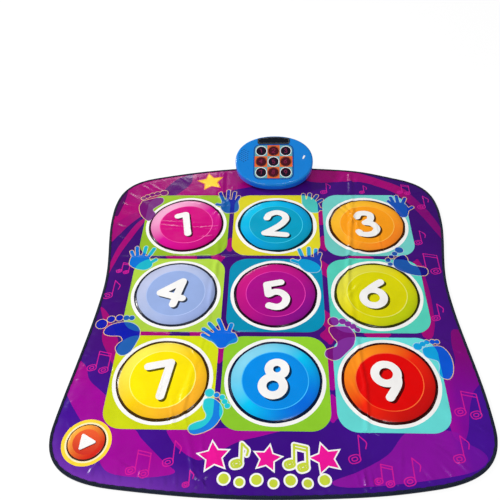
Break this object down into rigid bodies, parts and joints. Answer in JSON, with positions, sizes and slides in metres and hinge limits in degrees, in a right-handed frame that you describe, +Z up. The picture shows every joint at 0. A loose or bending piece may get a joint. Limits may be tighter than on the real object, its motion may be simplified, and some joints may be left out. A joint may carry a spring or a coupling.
{
  "type": "electronic dance mat",
  "caption": "Padded floor mat with round numbered press pads, a start pad in one corner and a tilted oval control pod at its far edge.",
  "frame": {"origin": "on the floor under the centre of pad 5, the middle pad of the grid", "axes": "+Z up, +Y away from the player towards the control pod, +X to the player's right"},
  "size_m": [0.892, 1.0276, 0.0904],
  "materials": {
    "backing_cloth": "dark coated woven backing, matt",
    "contact_film": "clear polyester film with printed tracks",
    "foam": "white open-cell foam sheet",
    "printed_vinyl": "soft printed vinyl, purple and magenta, glossy, lightly creased",
    "binding_tape": "dark navy woven bias tape, sewn",
    "pad_1_vinyl": "printed vinyl over foam, pink",
    "pad_2_vinyl": "printed vinyl over foam, cyan",
    "pad_3_vinyl": "printed vinyl over foam, orange",
    "pad_4_vinyl": "printed vinyl over foam, lavender blue",
    "pad_5_vinyl": "printed vinyl over foam, purple",
    "pad_6_vinyl": "printed vinyl over foam, lime yellow",
    "pad_7_vinyl": "printed vinyl over foam, yellow",
    "pad_8_vinyl": "printed vinyl over foam, blue",
    "pad_9_vinyl": "printed vinyl over foam, red",
    "start_pad_vinyl": "printed vinyl over foam, orange red",
    "contact_ink": "carbon ink on film",
    "blue_plastic": "bright blue moulded plastic, satin gloss",
    "dark_blue_plastic": "darker blue moulded plastic, satin",
    "panel_print": "printed plate, teal and orange squares",
    "window_lens": "dark tinted lens",
    "black_plastic": "black moulded plastic",
    "white_plastic": "white moulded plastic",
    "circuit_board": "green circuit board",
    "battery_sleeve": "plain sleeved dry cell",
    "contact_plate": "nickel plated spring contact",
    "screw_steel": "zinc plated screw",
    "foot_rubber": "black rubber"
  },
  "bodies": {
    "mat": {"bottom_skin": "backing_cloth", "lower_contact_film": "contact_film", "spacer_foam": "foam", "upper_contact_film": "contact_film", "top_skin": "printed_vinyl", "edge_binding": "binding_tape", "ribbon_tail": "contact_film", "mounting_plate": "white_plastic", "mount_screw_1": "screw_steel", "mount_screw_2": "screw_steel", "upper_case": "blue_plastic", "lower_case": "dark_blue_plastic", "case_screw_1": "screw_steel", "case_screw_2": "screw_steel", "face_panel": "panel_print", "light_window_1": "window_lens", "light_window_2": "window_lens", "light_window_3": "window_lens", "light_window_4": "window_lens", "light_window_5": "window_lens", "light_window_6": "window_lens", "light_window_7": "window_lens", "light_window_8": "window_lens", "light_window_9": "window_lens", "badge_plate": "black_plastic", "power_light_lens": "white_plastic", "speaker": "black_plastic", "led_board": "circuit_board", "main_board": "circuit_board", "battery_1": "battery_sleeve", "battery_2": "battery_sleeve", "battery_3": "battery_sleeve", "battery_contact_left": "contact_plate", "battery_contact_right": "contact_plate", "switch_body": "black_plastic", "rubber_foot_left": "foot_rubber", "rubber_foot_right": "foot_rubber"},
    "pad_1": {"pad_1_cover": "pad_1_vinyl", "pad_1_contact": "contact_ink"},
    "pad_2": {"pad_2_cover": "pad_2_vinyl", "pad_2_contact": "contact_ink"},
    "pad_3": {"pad_3_cover": "pad_3_vinyl", "pad_3_contact": "contact_ink"},
    "pad_4": {"pad_4_cover": "pad_4_vinyl", "pad_4_contact": "contact_ink"},
    "pad_5": {"pad_5_cover": "pad_5_vinyl", "pad_5_contact": "contact_ink"},
    "pad_6": {"pad_6_cover": "pad_6_vinyl", "pad_6_contact": "contact_ink"},
    "pad_7": {"pad_7_cover": "pad_7_vinyl", "pad_7_contact": "contact_ink"},
    "pad_8": {"pad_8_cover": "pad_8_vinyl", "pad_8_contact": "contact_ink"},
    "pad_9": {"pad_9_cover": "pad_9_vinyl", "pad_9_contact": "contact_ink"},
    "start_pad": {"start_pad_cover": "start_pad_vinyl", "start_pad_contact": "contact_ink"},
    "battery_door": {"battery_door": "dark_blue_plastic", "door_screw": "screw_steel"},
    "power_knob": {"power_knob": "black_plastic"}
  },
  "joints": [
    {"name": "pad_1_press", "type": "slide", "parent": "mat", "child": "pad_1", "axis": [0, 0, -1], "range_m": [0, 0.0025], "stiffness_N_per_m": 4000, "springref_m": -0.0005},
    {"name": "pad_2_press", "type": "slide", "parent": "mat", "child": "pad_2", "axis": [0, 0, -1], "range_m": [0, 0.0025], "stiffness_N_per_m": 4000, "springref_m": -0.0005},
    {"name": "pad_3_press", "type": "slide", "parent": "mat", "child": "pad_3", "axis": [0, 0, -1], "range_m": [0, 0.0025], "stiffness_N_per_m": 4000, "springref_m": -0.0005},
    {"name": "pad_4_press", "type": "slide", "parent": "mat", "child": "pad_4", "axis": [0, 0, -1], "range_m": [0, 0.0025], "stiffness_N_per_m": 4000, "springref_m": -0.0005},
    {"name": "pad_5_press", "type": "slide", "parent": "mat", "child": "pad_5", "axis": [0, 0, -1], "range_m": [0, 0.0025], "stiffness_N_per_m": 4000, "springref_m": -0.0005},
    {"name": "pad_6_press", "type": "slide", "parent": "mat", "child": "pad_6", "axis": [0, 0, -1], "range_m": [0, 0.0025], "stiffness_N_per_m": 4000, "springref_m": -0.0005},
    {"name": "pad_7_press", "type": "slide", "parent": "mat", "child": "pad_7", "axis": [0, 0, -1], "range_m": [0, 0.0025], "stiffness_N_per_m": 4000, "springref_m": -0.0005},
    {"name": "pad_8_press", "type": "slide", "parent": "mat", "child": "pad_8", "axis": [0, 0, -1], "range_m": [0, 0.0025], "stiffness_N_per_m": 4000, "springref_m": -0.0005},
    {"name": "pad_9_press", "type": "slide", "parent": "mat", "child": "pad_9", "axis": [0, 0, -1], "range_m": [0, 0.0025], "stiffness_N_per_m": 4000, "springref_m": -0.0005},
    {"name": "start_pad_press", "type": "slide", "parent": "mat", "child": "start_pad", "axis": [0, 0, -1], "range_m": [0, 0.0025], "stiffness_N_per_m": 4000, "springref_m": -0.0005},
    {"name": "battery_door_hinge", "type": "hinge", "parent": "mat", "child": "battery_door", "pos_m": [-0.022, 0.5123, 0.0079], "axis": [-1, 0, 0], "range_deg": [0, 90]},
    {"name": "power_switch_slide", "type": "slide", "parent": "mat", "child": "power_knob", "axis": [1, 0, 0], "range_m": [0, 0.008]}
  ]
}
